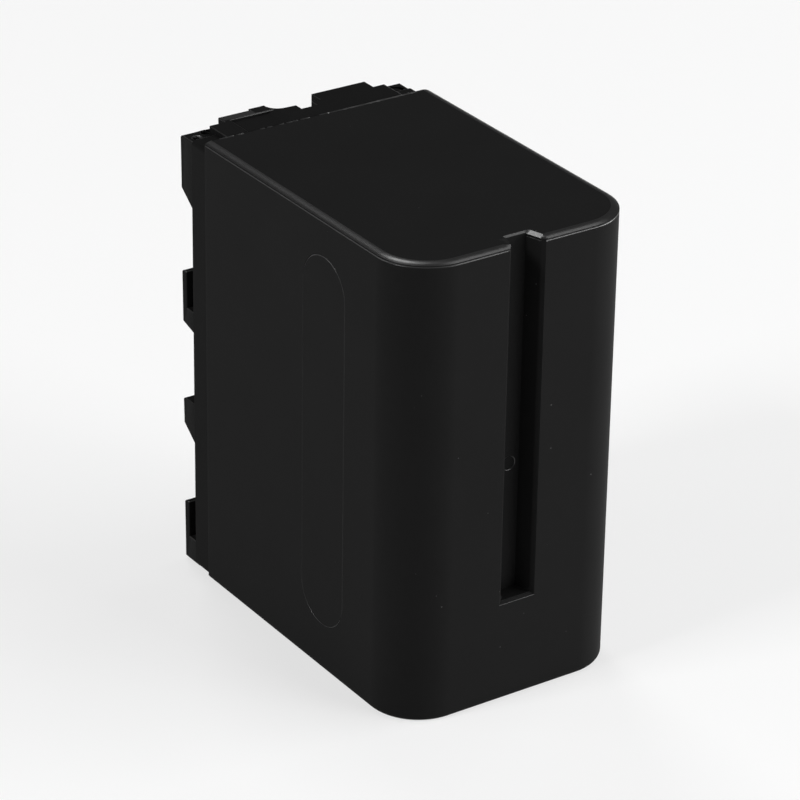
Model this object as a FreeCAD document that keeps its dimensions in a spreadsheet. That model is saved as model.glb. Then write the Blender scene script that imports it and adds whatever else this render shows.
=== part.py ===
import FreeCAD, Part
import math
import os

import Sketcher

# Six-cell slide-on battery for a camera monitor, in millimetres.
# X is the width, centred. Y is the depth: the grooved outer face is at -Y, the mount face at +Y.
# Z is the height: the part stands on its plain end, and the terminals are at the top.

doc = FreeCAD.newDocument("monitor_battery")

# The cells stand in two columns of three layers
LAYERS = 3

# Driving dimensions
SIZES = {
    # Cells
    "cell_diameter": 18.2,
    "cell_length": 65.0,
    "cell_edge": 0.6,
    "cap_diameter": 8.0,
    "cap_height": 0.4,
    "bead_depth": 0.6,
    "bead_height": 1.6,
    "bead_drop": 3.4,
    "card_margin": 0.8,
    "card_bore": 9.6,
    "card_thickness": 0.3,
    # How the cells sit in the case
    "column_gap": 0.2,
    "layer_gap": 0.1,
    "cell_clearance": 0.1,
    "crown_gap": 0.5,
    "strip_thickness": 0.2,
    "foot_pad_thickness": 0.8,
    "head_pad_thickness": 1.4,
    "head_clearance": 0.2,
    # Case walls and edges
    "side_wall": 0.8,
    "outer_wall": 1.2,
    "end_wall": 1.5,
    "corner_radius": 8.0,
    "head_bevel": 0.7,
    "foot_round": 0.9,
    # Groove down the outer face
    "groove_width": 5.05,
    "groove_floor_width": 3.45,
    "groove_depth": 3.0,
    "groove_foot": 16.05,
    "groove_wall": 0.7,
    "groove_corner": 0.6,
    "groove_lip": 0.45,
    "pin_mark_diameter": 2.0,
    "pin_mark_depth": 0.1,
    "pin_mark_height": 36.0,
    # Shallow grip panels on the two sides
    "grip_width": 10.7,
    "grip_depth": 0.2,
    "grip_foot": 7.6,
    "grip_head": 5.6,
    "grip_setback": 20.75,
    # Mount cover
    "cover_side_inset": 0.2,
    "cover_end_inset": 0.4,
    "cover_corner": 0.8,
    "cover_end_wall": 1.6,
    "base_drop": 0.8,
    "cover_depth": 5.6,
    "channel_drop": 1.7,
    "channel_wall": 0.9,
    "deck_reach": 5.8,
    "deck_side_wall": 1.0,
    "deck_wall": 1.0,
    "lip_clearance": 0.1,
    "lip_thickness": 0.7,
    "lip_height": 0.6,
    "lip_setback": 4.0,
    "label_recess_width": 24.0,
    "label_recess_depth": 0.25,
    "label_recess_foot": 8.0,
    "label_recess_head": 16.0,
    "label_recess_corner": 1.5,
    # Rail tabs along both edges of the mount face
    "tab_height": 3.5,
    "tab_width": 3.9,
    "tab_side_inset": 0.5,
    "tab_corner": 0.5,
    "lower_hook_length": 9.6,
    "upper_hook_drop": 22.4,
    "upper_hook_length": 8.3,
    "upper_hook_ramp": 1.0,
    "lower_stop_rise": 22.6,
    "lower_stop_length": 4.2,
    "upper_stop_drop": 1.2,
    "upper_stop_length": 8.2,
    "stop_ramp": 2.7,
    "hook_slot_length": 5.8,
    "hook_slot_depth": 2.2,
    "hook_lip": 1.2,
    # Terminal end
    "block_height": 2.4,
    "block_length": 10.0,
    "left_block_inner": 4.4,
    "left_block_rib": 7.0,
    "left_block_outer": 12.4,
    "left_block_step": 0.5,
    "right_block_inner": 3.8,
    "right_block_outer": 13.1,
    "block_ramp": 2.2,
    "ramp_toe": 0.25,
    "stop_block_inner": 12.6,
    "data_centre": 1.0,
    "data_slot_width": 2.6,
    "data_slot_depth": 1.5,
    "data_slot_length": 6.0,
    "data_floor": 0.9,
    "left_contact_centre": 8.25,
    "right_contact_centre": 8.45,
    "recess_width": 6.2,
    "recess_rise": 0.8,
    "recess_depth": 0.45,
    "recess_rim": 1.6,
    "recess_ramp": 1.5,
    "window_width": 3.2,
    "window_length": 5.2,
    "window_setback": 1.6,
    "chamber_width": 4.8,
    "chamber_length": 8.4,
    "chamber_height": 2.0,
    "corner_hole_diameter": 1.2,
    "corner_hole_depth": 1.0,
    "near_hole_side": 1.4,
    "near_hole_drop": 2.2,
    "far_hole_side": 3.45,
    "far_hole_drop": 1.1,
    # Contacts
    "contact_width": 3.4,
    "contact_thickness": 0.25,
    "contact_clearance": 0.15,
    "leaf_gap": 1.4,
    "contact_tail_length": 2.0,
    "contact_tail_run": 0.9,
    "contact_landing": 2.9,
    "data_contact_width": 1.6,
    "data_contact_setback": 1.0,
    # Circuit board and its parts
    "board_inset": 4.7,
    "board_thickness": 0.8,
    "board_standoff": 0.8,
    "board_foot": 6.0,
    "board_head": 7.6,
    "board_rib_width": 0.8,
    "board_rib_inset": 0.5,
    "board_rib_foot": 6.0,
    "board_rib_head": 12.0,
    "chip_width": 3.9,
    "chip_length": 4.9,
    "chip_height": 1.5,
    "chip_bevel": 0.25,
    "leg_width": 0.45,
    "leg_length": 1.0,
    "leg_thickness": 0.25,
    "leg_pitch": 1.27,
    "protection_chip_height": 26.0,
    "charge_switch_height": 36.0,
    "discharge_switch_height": 44.0,
    "resistor_width": 3.2,
    "resistor_length": 6.4,
    "resistor_thickness": 0.7,
    "resistor_height": 17.5,
    "sensor_width": 1.6,
    "sensor_length": 2.4,
    "sensor_thickness": 0.9,
    "sensor_height": 51.0,
    # Strips and pads
    "strip_width": 8.0,
    "strip_end": 4.0,
    "tail_width": 2.5,
    "tail_inset": 5.3,
    "tail_lap": 5.0,
    "strip_window_width": 5.0,
    "strip_window_length": 8.0,
    "pad_margin": 0.4,
    "foam_width": 5.0,
    "foam_end": 8.0,
    # How far a cutting shape runs past the face it opens
    "overrun": 1.0,
}

# Values worked out from the driving dimensions
LAYOUT = {
    "half_width": "dims.cell_diameter + dims.column_gap / 2 + dims.cell_clearance + dims.side_wall",
    "inner_half": "layout.half_width - dims.side_wall",
    "head": "2 * dims.end_wall + dims.foot_pad_thickness + 2 * dims.strip_thickness + dims.cell_length"
            " + dims.head_pad_thickness + dims.head_clearance",
    "half_depth": f"(dims.outer_wall + dims.cell_clearance + {LAYERS} * dims.cell_diameter"
                  f" + {LAYERS - 1} * dims.layer_gap + dims.crown_gap + dims.deck_wall"
                  " + dims.block_height) / 2",
    "outer": "-layout.half_depth",
    "groove_floor": "layout.outer + dims.groove_depth",
    "cell_x": "(dims.cell_diameter + dims.column_gap) / 2",
    "layer_pitch": "dims.cell_diameter + dims.layer_gap",
    "first_layer": "layout.outer + dims.outer_wall + dims.cell_clearance + dims.cell_diameter / 2",
    "last_layer": f"layout.first_layer + {LAYERS - 1} * layout.layer_pitch",
    "crown": "layout.last_layer + dims.cell_diameter / 2",
    "deck_inside": "layout.crown + dims.crown_gap",
    "deck": "layout.deck_inside + dims.deck_wall",
    "block": "layout.deck + dims.block_height",
    "deck_half": "layout.cell_x + dims.deck_reach",
    "seam": "layout.deck - dims.cover_depth",
    "cells_foot": "dims.end_wall + dims.foot_pad_thickness + dims.strip_thickness",
    "cells_head": "layout.cells_foot + dims.cell_length",
    "cover_half": "layout.half_width - dims.cover_side_inset",
    "cover_foot": "dims.cover_end_inset",
    "cover_head": "layout.head - dims.cover_end_inset",
    "cover_inner_half": "layout.inner_half - dims.lip_clearance - dims.lip_thickness",
    "cover_inner_foot": "layout.cover_foot + dims.cover_end_wall",
    "cover_inner_head": "layout.cover_head - dims.cover_end_wall",
    "channel": "layout.deck - dims.channel_drop",
    "tab": "layout.channel + dims.tab_height",
    "tab_half": "layout.half_width - dims.tab_side_inset",
    "slot_roof": "layout.tab - dims.hook_lip",
    "lower_hook_head": "layout.cover_foot + dims.lower_hook_length",
    "upper_hook_head": "layout.cover_head - dims.upper_hook_drop",
    "upper_hook_foot": "layout.upper_hook_head - dims.upper_hook_length",
    "lower_stop_foot": "layout.cover_foot + dims.lower_stop_rise",
    "lower_stop_head": "layout.lower_stop_foot + dims.lower_stop_length",
    "upper_stop_head": "layout.cover_head - dims.upper_stop_drop",
    "upper_stop_foot": "layout.upper_stop_head - dims.upper_stop_length",
    "blocks_foot": "layout.cover_head - dims.block_length",
    "chamber_head": "layout.cover_head - dims.cover_end_wall",
    "chamber_foot": "layout.chamber_head - dims.chamber_length",
    "contact_foot": "layout.chamber_foot + dims.contact_clearance",
    "contact_head": "layout.chamber_head - dims.contact_clearance",
    "leaf": "layout.crown + dims.contact_clearance",
    "leaf_top": "layout.leaf + dims.contact_thickness",
    "upper_leaf": "layout.leaf_top + dims.leaf_gap",
    "window_foot": "layout.chamber_head - dims.window_setback - dims.window_length",
    "recess_edge": "layout.block - dims.left_block_step - dims.recess_rim",
    "data_slot": "layout.deck - dims.data_slot_depth",
    "data_slot_foot": "layout.cover_head - dims.data_slot_length",
    "data_floor_under": "layout.data_slot - dims.data_floor",
    "board_top": "layout.deck_inside - dims.board_standoff",
    "board_under": "layout.board_top - dims.board_thickness",
    "board_half": "layout.cell_x - dims.board_inset",
    "board_head": "layout.head - dims.board_head",
    "pad_foot_y": "layout.outer + dims.outer_wall + dims.pad_margin",
    "pad_half": "layout.inner_half - dims.pad_margin",
    "pad_head_y": "layout.seam - dims.pad_margin",
}

sheet = doc.addObject("Spreadsheet::Sheet", "dims")
for row, (name, value) in enumerate(SIZES.items(), start=1):
    sheet.set(f"A{row}", name)
    sheet.set(f"B{row}", str(value))
    sheet.setAlias(f"B{row}", name)
doc.recompute()

layout = doc.addObject("App::VarSet", "layout")
for name, expression in LAYOUT.items():
    layout.addProperty("App::PropertyFloat", name, "layout")
    layout.setExpression(name, expression)
    doc.recompute()


def value_of(expression):
    """The present number behind an expression."""
    return float(sheet.evalExpression(expression))


def vector(pair):
    return FreeCAD.Vector(value_of(pair[0]), value_of(pair[1]), 0)


# Sketch helpers. A corner is a pair of expressions, or three with a rounding radius.
def new_body(name):
    body = doc.addObject("PartDesign::Body", name)
    body.Label = name
    return body


def new_sketch(body, name, role, offset="0"):
    """An empty sketch on one of the body's origin planes, moved along that plane's normal."""
    sketch = body.newObject("Sketcher::SketchObject", name)
    plane = next(feature for feature in body.Origin.OriginFeatures if feature.Role == role)
    sketch.AttachmentSupport = [(plane, "")]
    sketch.MapMode = "FlatFace"
    sketch.setExpression("AttachmentOffset.Base.z", offset)
    return sketch


def hold(sketch, geometry, point, pair):
    """Tie a point of the sketch to its two expressions."""
    place = vector(pair)
    for kind, number, expression in (("DistanceX", place.x, pair[0]), ("DistanceY", place.y, pair[1])):
        index = sketch.addConstraint(Sketcher.Constraint(kind, -1, 1, geometry, point, number))
        sketch.setExpression(f"Constraints[{index}]", expression)


def rounded(before, corner, after):
    """The two points where a square corner's rounding starts and ends."""
    here = vector(corner)
    points = []
    for neighbour in (before, after):
        step = vector(neighbour) - here
        if abs(step.x) > abs(step.y):
            points.append((f"{corner[0]} + {math.copysign(1, step.x):.0f} * {corner[2]}", corner[1]))
        else:
            points.append((corner[0], f"{corner[1]} + {math.copysign(1, step.y):.0f} * {corner[2]}"))
    return points


def draw(sketch, corners):
    """Draw one closed outline: straight runs between the corners, arcs at the rounded ones."""
    count = len(corners)
    ends = []
    for i, corner in enumerate(corners):
        if len(corner) == 3:
            ends.append(rounded(corners[i - 1], corner, corners[(i + 1) % count]))
        else:
            ends.append([corner, corner])
    lines = []
    for i in range(count):
        start = ends[i][1]
        stop = ends[(i + 1) % count][0]
        line = sketch.addGeometry(Part.LineSegment(vector(start), vector(stop)), False)
        hold(sketch, line, 1, start)
        lines.append(line)
    for i, corner in enumerate(corners):
        line_in = lines[i - 1]
        line_out = lines[i]
        if len(corner) == 2:
            sketch.addConstraint(Sketcher.Constraint("Coincident", line_in, 2, line_out, 1))
            continue
        hold(sketch, line_in, 2, ends[i][0])
        first = vector(ends[i][0])
        last = vector(ends[i][1])
        centre = first + last - vector(corner)
        turns_left = (first - centre).cross(last - centre).z > 0
        start, stop = (first, last) if turns_left else (last, first)
        circle = Part.Circle(centre, FreeCAD.Vector(0, 0, 1), value_of(corner[2]))
        angles = [math.atan2((point - centre).y, (point - centre).x) for point in (start, stop)]
        arc = sketch.addGeometry(Part.ArcOfCircle(circle, angles[0], angles[1]), False)
        start_point, stop_point = (1, 2) if turns_left else (2, 1)
        sketch.addConstraint(Sketcher.Constraint("Coincident", line_in, 2, arc, start_point))
        sketch.addConstraint(Sketcher.Constraint("Coincident", arc, stop_point, line_out, 1))
        index = sketch.addConstraint(Sketcher.Constraint("Radius", arc, value_of(corner[2])))
        sketch.setExpression(f"Constraints[{index}]", corner[2])


def draw_box(sketch, left, right, low, high, radius=None):
    """A rectangle between four expressions, with the same rounding at all its corners."""
    corners = [(left, low), (right, low), (right, high), (left, high)]
    if radius:
        corners = [(x, y, radius) for x, y in corners]
    draw(sketch, corners)


def draw_circle(sketch, centre, diameter):
    circle = Part.Circle(vector(centre), FreeCAD.Vector(0, 0, 1), value_of(diameter) / 2)
    index = sketch.addGeometry(circle, False)
    hold(sketch, index, 3, centre)
    constraint = sketch.addConstraint(Sketcher.Constraint("Diameter", index, value_of(diameter)))
    sketch.setExpression(f"Constraints[{constraint}]", diameter)


def draw_stadium(sketch, middle, half, low, high):
    """A slot shape with round ends: middle line, half width, and the two end points."""
    left = f"{middle} - {half}"
    right = f"{middle} + {half}"
    low_centre = f"{low} + {half}"
    high_centre = f"{high} - {half}"
    sides = []
    right_run = ((right, low_centre), (right, high_centre))
    left_run = ((left, high_centre), (left, low_centre))
    for start, stop in (right_run, left_run):
        line = sketch.addGeometry(Part.LineSegment(vector(start), vector(stop)), False)
        hold(sketch, line, 1, start)
        hold(sketch, line, 2, stop)
        sides.append(line)
    up, down = sides
    for centre, turn, line_in, line_out in ((high_centre, 0, up, down), (low_centre, math.pi, down, up)):
        circle = Part.Circle(vector((middle, centre)), FreeCAD.Vector(0, 0, 1), value_of(half))
        arc = sketch.addGeometry(Part.ArcOfCircle(circle, turn, turn + math.pi), False)
        sketch.addConstraint(Sketcher.Constraint("Coincident", line_in, 2, arc, 1))
        sketch.addConstraint(Sketcher.Constraint("Coincident", arc, 2, line_out, 1))
        index = sketch.addConstraint(
            Sketcher.Constraint("DistanceY", -1, 1, arc, 3, value_of(centre)))
        sketch.setExpression(f"Constraints[{index}]", centre)


# How far an edge may lie from the plane it is looked for in
SLACK = 1e-4


# Feature helpers
def pad(body, sketch, name, length, reverse=False):
    feature = body.newObject("PartDesign::Pad", name)
    feature.Profile = sketch
    feature.setExpression("Length", length)
    feature.Reversed = reverse
    doc.recompute()
    return feature


def pocket(body, sketch, name, depth, reverse=False):
    """Cut the sketch into the body, and stop if the cut missed it."""
    before = body.Shape.Volume
    feature = body.newObject("PartDesign::Pocket", name)
    feature.Profile = sketch
    feature.setExpression("Length", depth)
    feature.Reversed = reverse
    doc.recompute()
    if not body.Shape.Volume < before:
        raise RuntimeError(f"{body.Label}: {name} cuts nothing")
    return feature


def mirror_across_width(body, name, features):
    """Repeat features on the other side of the middle plane."""
    feature = body.newObject("PartDesign::Mirrored", name)
    feature.Originals = features
    plane = next(item for item in body.Origin.OriginFeatures if item.Role == "YZ_Plane")
    feature.MirrorPlane = (plane, [""])
    body.Tip = feature
    doc.recompute()
    return feature


def dress(body, kind, name, chosen, size_name, size):
    """A fillet or chamfer on the edges of the body that the test picks."""
    base = body.Tip
    edges = [f"Edge{i}" for i, edge in enumerate(base.Shape.Edges, start=1) if chosen(edge)]
    if not edges:
        raise RuntimeError(f"{body.Label}: {name} finds no edge")
    feature = body.newObject(kind, name)
    feature.Base = (base, edges)
    feature.setExpression(size_name, size)
    doc.recompute()
    return feature


def lies_on(edge, axis, place):
    """Whether an edge lies in a plane square to an axis."""
    box = edge.BoundBox
    low = getattr(box, f"{axis}Min")
    high = getattr(box, f"{axis}Max")
    return abs(low - place) < SLACK and abs(high - place) < SLACK


# Case: an open box moulded in one piece, with a grooved outer face
def make_case():
    body = new_body("case")
    shell = new_sketch(body, "case_outline", "XY_Plane")
    draw(shell, [
        ("-layout.half_width", "layout.seam"),
        ("-layout.half_width", "layout.outer", "dims.corner_radius"),
        ("layout.half_width", "layout.outer", "dims.corner_radius"),
        ("layout.half_width", "layout.seam"),
    ])
    pad(body, shell, "case_block", "layout.head")

    inside = new_sketch(body, "case_inside", "XY_Plane", "dims.end_wall")
    inner_radius = "(dims.corner_radius - dims.side_wall)"
    draw(inside, [
        ("-layout.inner_half", "layout.seam + dims.overrun"),
        ("-layout.inner_half", "layout.outer + dims.outer_wall", inner_radius),
        ("layout.inner_half", "layout.outer + dims.outer_wall", inner_radius),
        ("layout.inner_half", "layout.seam + dims.overrun"),
    ])
    pocket(body, inside, "case_hollow", "layout.head - 2 * dims.end_wall", reverse=True)

    # The wall behind the groove, inside the case
    rib = new_sketch(body, "groove_rib_outline", "XY_Plane", "dims.groove_foot - dims.groove_wall")
    rib_mouth = "(dims.groove_width / 2 + dims.groove_wall)"
    rib_floor = "(dims.groove_floor_width / 2 + dims.groove_wall)"
    rib_back = "layout.groove_floor + dims.groove_wall"
    rib_front = "layout.outer + dims.outer_wall / 2"
    draw(rib, [
        (f"-{rib_mouth}", rib_front),
        (rib_mouth, rib_front),
        (rib_floor, rib_back),
        (f"-{rib_floor}", rib_back),
    ])
    rib_length = "layout.head - dims.end_wall / 2 - dims.groove_foot + dims.groove_wall"
    pad(body, rib, "groove_rib", rib_length)

    # The groove's section has drafted walls and a sloped lip on each side
    groove = new_sketch(body, "groove_section", "XY_Plane", "layout.head")
    mouth = "(dims.groove_width / 2 + dims.groove_lip)"
    throat = "dims.groove_width / 2"
    floor = "dims.groove_floor_width / 2"
    draw(groove, [
        (f"-{mouth}", "layout.outer - dims.overrun"),
        (mouth, "layout.outer - dims.overrun"),
        (mouth, "layout.outer"),
        (throat, "layout.outer + dims.groove_lip"),
        (floor, "layout.groove_floor"),
        (f"-{floor}", "layout.groove_floor"),
        (f"-{throat}", "layout.outer + dims.groove_lip"),
        (f"-{mouth}", "layout.outer"),
    ])
    pocket(body, groove, "groove", "layout.head - dims.groove_foot")

    mark = new_sketch(body, "pin_mark_outline", "XZ_Plane", "-layout.groove_floor")
    draw_circle(mark, ("0", "dims.pin_mark_height"), "dims.pin_mark_diameter")
    pocket(body, mark, "pin_mark", "dims.pin_mark_depth")

    grip = new_sketch(body, "grip_outline", "YZ_Plane", "layout.half_width")
    draw_stadium(grip, "(layout.outer + dims.grip_setback)", "dims.grip_width / 2",
                 "dims.grip_foot", "(layout.head - dims.grip_head)")
    panel = pocket(body, grip, "grip_panel", "dims.grip_depth")
    mirror_across_width(body, "grip_panels", [panel])

    # The outside edges are eased, and the groove's foot has round corners and a sloped sill
    def on_head(edge):
        in_groove = max(abs(edge.BoundBox.XMin), abs(edge.BoundBox.XMax)) < sheet.groove_width
        return lies_on(edge, "Z", layout.head) and not lies_on(edge, "Y", layout.seam) and not in_groove

    def on_foot(edge):
        return lies_on(edge, "Z", 0) and not lies_on(edge, "Y", layout.seam)

    def on_groove_corner(edge):
        on_wall = edge.BoundBox.YLength > sheet.groove_lip + SLACK
        return lies_on(edge, "Z", sheet.groove_foot) and on_wall

    def on_groove_sill(edge):
        return lies_on(edge, "Z", sheet.groove_foot) and lies_on(edge, "Y", layout.outer)

    dress(body, "PartDesign::Chamfer", "head_bevel", on_head, "Size", "dims.head_bevel")
    dress(body, "PartDesign::Fillet", "groove_corners", on_groove_corner, "Radius", "dims.groove_corner")
    dress(body, "PartDesign::Chamfer", "groove_sill", on_groove_sill, "Size", "dims.groove_lip")
    dress(body, "PartDesign::Fillet", "foot_round", on_foot, "Radius", "dims.foot_round")
    return body


# Mount cover: the moulded plate with hooked rail tabs and the terminal blocks
def make_mount_cover():
    body = new_body("mount_cover")
    base = new_sketch(body, "base_outline", "XZ_Plane", "-layout.seam")
    draw_box(base, "-layout.cover_half", "layout.cover_half", "layout.cover_foot",
             "layout.cover_head - dims.base_drop", "dims.cover_corner")
    pad(body, base, "base", "layout.channel - layout.seam", reverse=True)

    deck = new_sketch(body, "deck_outline", "XZ_Plane", "-layout.seam")
    draw_box(deck, "-layout.deck_half", "layout.deck_half", "layout.cover_foot", "layout.cover_head")
    pad(body, deck, "deck", "layout.deck - layout.seam", reverse=True)

    # Rail tabs, drawn from the side: two hooks and the lower stop stand beside the deck
    root = "layout.channel - dims.channel_wall / 2"
    tabs = new_sketch(body, "tab_outline", "YZ_Plane", "-layout.tab_half")
    draw(tabs, [
        (root, "layout.cover_foot"),
        ("layout.tab", "layout.cover_foot"),
        ("layout.tab", "layout.lower_hook_head", "dims.tab_corner"),
        (root, "layout.lower_hook_head"),
    ])
    draw(tabs, [
        (root, "layout.lower_stop_foot - dims.stop_ramp"),
        ("layout.channel", "layout.lower_stop_foot - dims.stop_ramp"),
        ("layout.tab", "layout.lower_stop_foot"),
        ("layout.tab", "layout.lower_stop_head", "dims.tab_corner"),
        (root, "layout.lower_stop_head"),
    ])
    draw(tabs, [
        (root, "layout.upper_hook_foot - dims.upper_hook_ramp"),
        ("layout.channel", "layout.upper_hook_foot - dims.upper_hook_ramp"),
        ("layout.tab", "layout.upper_hook_foot"),
        ("layout.tab", "layout.upper_hook_head", "dims.tab_corner"),
        (root, "layout.upper_hook_head"),
    ])
    tab_pads = pad(body, tabs, "tabs", "dims.tab_width")

    # The upper stop is wider and closes the corner beside the terminal blocks
    stop = new_sketch(body, "upper_stop_outline", "YZ_Plane", "-layout.tab_half")
    draw(stop, [
        (root, "layout.upper_stop_foot - dims.stop_ramp"),
        ("layout.channel", "layout.upper_stop_foot - dims.stop_ramp"),
        ("layout.tab", "layout.upper_stop_foot"),
        ("layout.tab", "layout.upper_stop_head", "dims.tab_corner"),
        (root, "layout.upper_stop_head"),
    ])
    stop_pad = pad(body, stop, "upper_stop", "layout.tab_half - dims.stop_block_inner")
    mirror_across_width(body, "tabs_both_sides", [tab_pads, stop_pad])

    # Slots under the hooks, open to the side and to the terminal end
    slots = new_sketch(body, "hook_slot_outline", "YZ_Plane", "-layout.tab_half - dims.overrun")
    for hook_head in ("layout.lower_hook_head", "layout.upper_hook_head"):
        draw_box(slots, "layout.channel", "layout.slot_roof",
                 f"{hook_head} - dims.hook_slot_length", f"{hook_head} + dims.overrun")
    slot_cut = pocket(body, slots, "hook_slots", "dims.hook_slot_depth + dims.overrun", reverse=True)
    mirror_across_width(body, "hook_slots_both_sides", [slot_cut])

    # Terminal blocks, drawn from the end: the left one has a rib, both have a hollow ramp
    blocks = new_sketch(body, "terminal_blocks_outline", "XY_Plane", "layout.blocks_foot")
    sunk = "layout.deck - dims.deck_wall / 2"
    ramp_reach = "dims.block_ramp + dims.ramp_toe"
    draw(blocks, [
        ("-dims.left_block_outer", sunk),
        (f"-dims.left_block_inner + {ramp_reach}", sunk),
        (f"-dims.left_block_inner + {ramp_reach}", "layout.deck"),
        ("-dims.left_block_inner", "layout.deck", "dims.block_ramp"),
        ("-dims.left_block_inner", "layout.block"),
        ("-dims.left_block_rib", "layout.block"),
        ("-dims.left_block_rib", "layout.block - dims.left_block_step"),
        ("-dims.left_block_outer", "layout.block - dims.left_block_step"),
    ])
    draw_box(blocks, "dims.right_block_inner", "dims.right_block_outer", sunk, "layout.block")
    pad(body, blocks, "terminal_blocks", "dims.block_length")

    # Inside of the cover: skirt, deck and the two contact chambers
    skirt = new_sketch(body, "skirt_inside", "XZ_Plane", "-layout.seam")
    draw_box(skirt, "-layout.cover_inner_half", "layout.cover_inner_half",
             "layout.cover_inner_foot", "layout.cover_inner_head")
    pocket(body, skirt, "skirt_hollow", "layout.channel - dims.channel_wall - layout.seam")
    under = new_sketch(body, "deck_inside", "XZ_Plane", "-layout.seam")
    deck_inner_half = "(layout.deck_half - dims.deck_side_wall)"
    draw_box(under, f"-{deck_inner_half}", deck_inner_half,
             "layout.cover_inner_foot", "layout.cover_inner_head")
    pocket(body, under, "deck_hollow", "layout.deck_inside - layout.seam")

    chambers = new_sketch(body, "chamber_outline", "XZ_Plane", "-layout.seam")
    for centre in ("-dims.left_contact_centre", "dims.right_contact_centre"):
        draw_box(chambers, f"{centre} - dims.chamber_width / 2", f"{centre} + dims.chamber_width / 2",
                 "layout.chamber_foot", "layout.chamber_head")
    pocket(body, chambers, "contact_chambers", "layout.deck_inside + dims.chamber_height - layout.seam")

    # Windows in the mount face, over the two power leaves
    windows = new_sketch(body, "window_outline", "XZ_Plane", "-layout.block")
    for centre in ("-dims.left_contact_centre", "dims.right_contact_centre"):
        draw_box(windows, f"{centre} - dims.window_width / 2", f"{centre} + dims.window_width / 2",
                 "layout.window_foot", "layout.window_foot + dims.window_length")
    pocket(body, windows, "contact_windows",
           "layout.block - layout.deck_inside - dims.chamber_height + dims.contact_clearance", reverse=True)

    # Shallow step in the end of the left block, under a raised edge, running out to the right
    step = new_sketch(body, "end_step_outline", "XZ_Plane", "-layout.recess_edge")
    step_left = "-dims.left_contact_centre - dims.recess_width / 2"
    step_right = "-dims.left_contact_centre + dims.recess_width / 2"
    draw(step, [
        (step_left, "layout.cover_head - dims.recess_depth"),
        (step_right, "layout.cover_head - dims.recess_depth"),
        (f"{step_right} + dims.recess_ramp", "layout.cover_head"),
        (f"{step_right} + dims.recess_ramp", "layout.cover_head + dims.overrun"),
        (step_left, "layout.cover_head + dims.overrun"),
    ])
    pocket(body, step, "end_step", "layout.recess_edge - layout.seam - dims.recess_rise", reverse=True)

    # Open slot for the data contact, with a floor of its own under the deck
    data_left = "dims.data_centre - dims.data_slot_width / 2"
    data_right = "dims.data_centre + dims.data_slot_width / 2"
    floor = new_sketch(body, "data_floor_outline", "XZ_Plane", "-layout.data_floor_under")
    draw_box(floor, f"{data_left} - dims.data_floor", f"{data_right} + dims.data_floor",
             "layout.data_slot_foot - dims.data_floor", "layout.cover_inner_head + dims.cover_end_wall / 2")
    pad(body, floor, "data_floor", "layout.deck_inside + dims.deck_wall / 2 - layout.data_floor_under",
        reverse=True)
    slot = new_sketch(body, "data_slot_outline", "XY_Plane", "layout.cover_head")
    draw_box(slot, data_left, data_right, "layout.data_slot", "layout.deck + dims.overrun")
    pocket(body, slot, "data_slot", "dims.data_slot_length")
    passage = new_sketch(body, "data_passage_outline", "XY_Plane", "layout.cover_head")
    passage_half = "(dims.data_contact_width / 2 + dims.contact_clearance)"
    draw_box(passage, f"dims.data_centre - {passage_half}", f"dims.data_centre + {passage_half}",
             "layout.data_slot", "layout.data_slot + dims.contact_thickness + dims.contact_clearance")
    pocket(body, passage, "data_passage", "dims.data_slot_length + dims.data_floor + dims.contact_clearance")

    # Ribs under the deck that the circuit board lies against
    ribs = new_sketch(body, "board_rib_outline", "XZ_Plane", "-layout.board_top")
    for side in ("-", ""):
        edge = f"{side}(layout.board_half - dims.board_rib_inset)"
        inner = f"{side}(layout.board_half - dims.board_rib_inset - dims.board_rib_width)"
        left, right = (edge, inner) if side else (inner, edge)
        draw_box(ribs, left, right, "dims.board_foot + dims.board_rib_foot",
                 "layout.board_head - dims.board_rib_head")
    pad(body, ribs, "board_ribs", "dims.board_standoff + dims.deck_wall / 2", reverse=True)

    # Lip on both long sides that locates the cover inside the case
    lip = new_sketch(body, "lip_outline", "XZ_Plane", "-layout.seam")
    draw_box(lip, "-layout.inner_half + dims.lip_clearance", "-layout.cover_inner_half",
             "dims.lip_setback", "layout.head - dims.lip_setback")
    lip_pad = pad(body, lip, "lip", "dims.lip_height")
    mirror_across_width(body, "lips", [lip_pad])

    # Small blind holes in the two upper corners, and a shallow bare field on the deck
    holes = new_sketch(body, "corner_hole_outline", "XY_Plane", "layout.upper_stop_head")
    for hole in ("near_hole", "far_hole"):
        draw_circle(holes, (f"-layout.tab_half + dims.{hole}_side", f"layout.tab - dims.{hole}_drop"),
                    "dims.corner_hole_diameter")
    hole_cut = pocket(body, holes, "corner_holes", "dims.corner_hole_depth")
    mirror_across_width(body, "corner_holes_both_sides", [hole_cut])
    field = new_sketch(body, "deck_field_outline", "XZ_Plane", "-layout.deck")
    draw_box(field, "-dims.label_recess_width / 2", "dims.label_recess_width / 2",
             "layout.cover_foot + dims.label_recess_foot", "layout.cover_head - dims.label_recess_head",
             "dims.label_recess_corner")
    pocket(body, field, "deck_field", "dims.label_recess_depth", reverse=True)
    return body


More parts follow.
